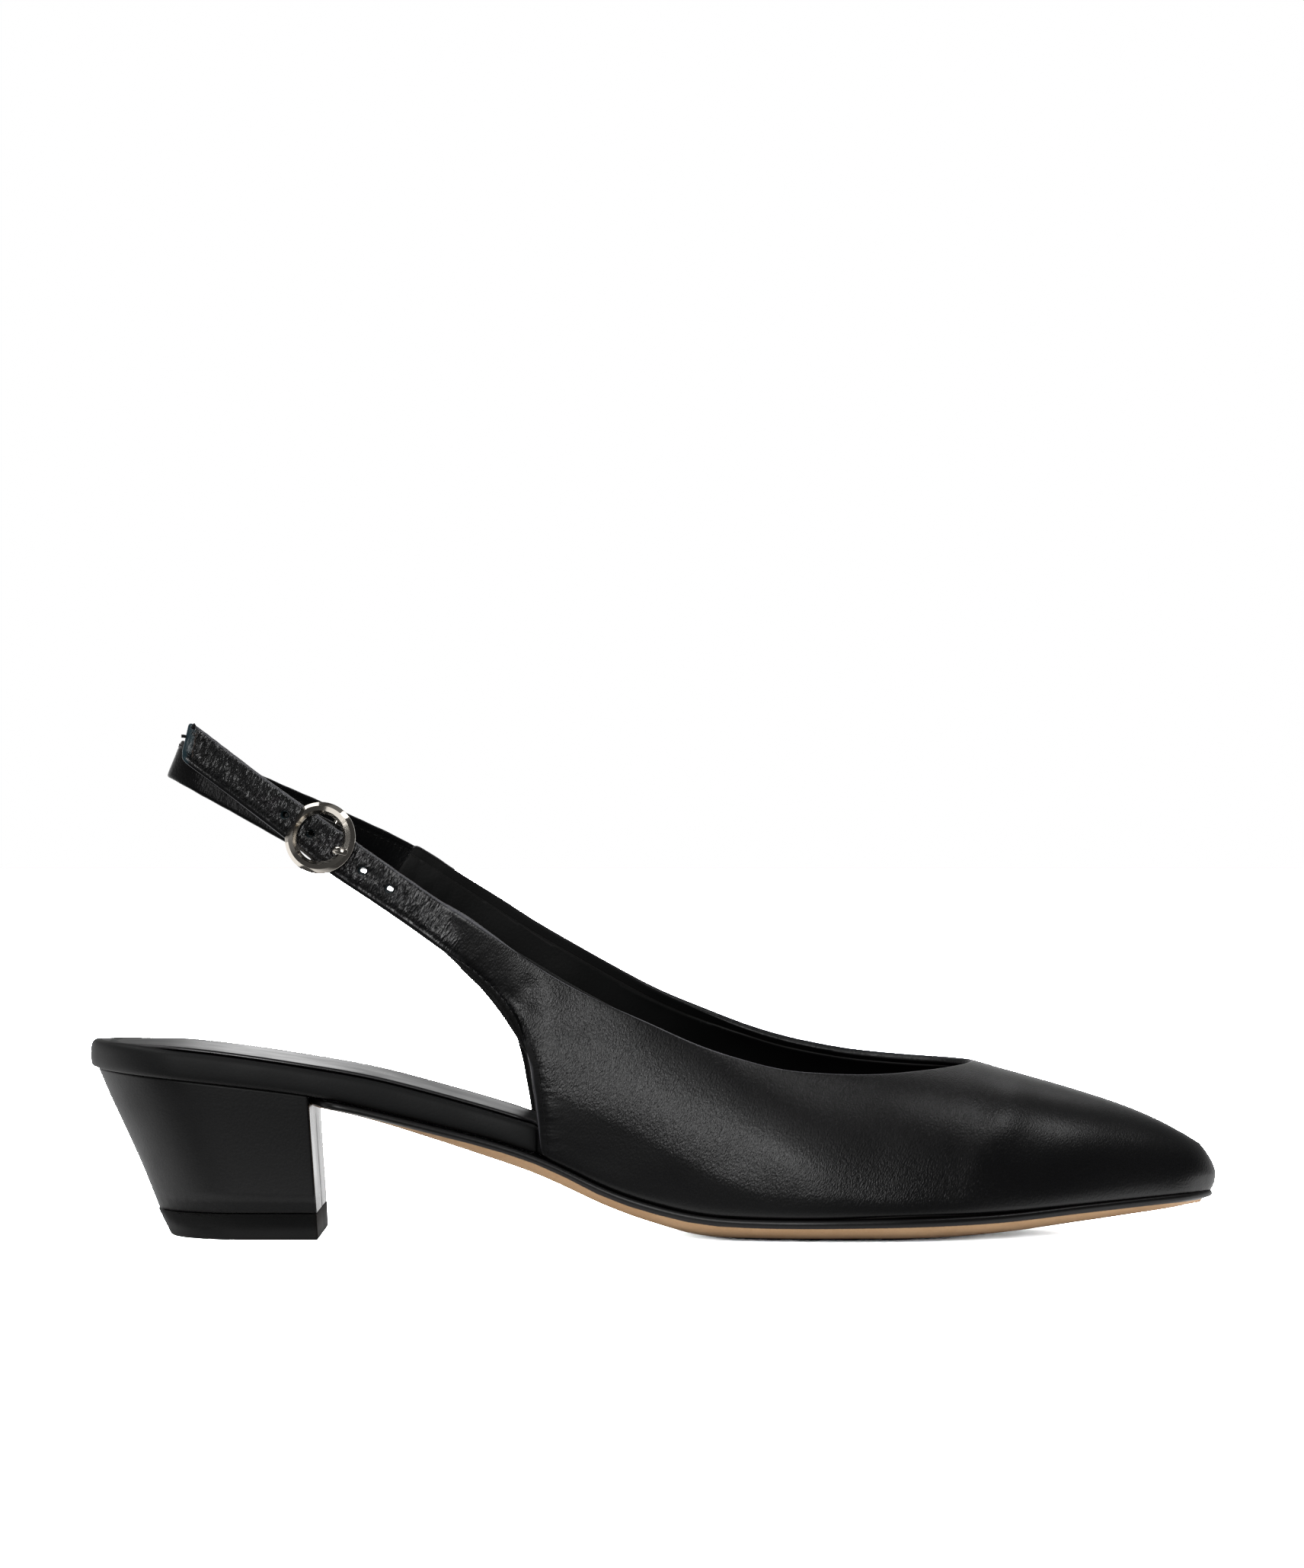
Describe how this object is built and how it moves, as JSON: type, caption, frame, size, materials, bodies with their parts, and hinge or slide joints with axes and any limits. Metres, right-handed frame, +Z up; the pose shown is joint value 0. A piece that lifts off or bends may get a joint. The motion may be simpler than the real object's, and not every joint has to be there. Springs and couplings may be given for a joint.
{
  "type": "slingback pump",
  "caption": "Black leather slingback pump with a pointed closed toe, a low covered block heel, a tan leather sole and a slack heel strap with a round buckle.",
  "frame": {"origin": "on the floor under the middle of the shoe's bounding box", "axes": "+X from heel to toe, -Y toward the outer side of the foot, +Z up from the floor"},
  "size_m": [0.26, 0.0758, 0.1186],
  "materials": {
    "sole_leather": "matte",
    "heel_leather": "satin",
    "rubber": "matte",
    "footbed_leather": "satin",
    "black_leather": "satin",
    "polished_metal": "polished"
  },
  "bodies": {
    "root": {"outsole": "sole_leather", "heel_block": "heel_leather", "heel_top_piece": "rubber", "insole": "footbed_leather", "sock_lining": "footbed_leather", "upper": "black_leather", "sling_strap": "black_leather", "buckle_frame": "polished_metal", "buckle_prong": "polished_metal"}
  },
  "joints": []
}
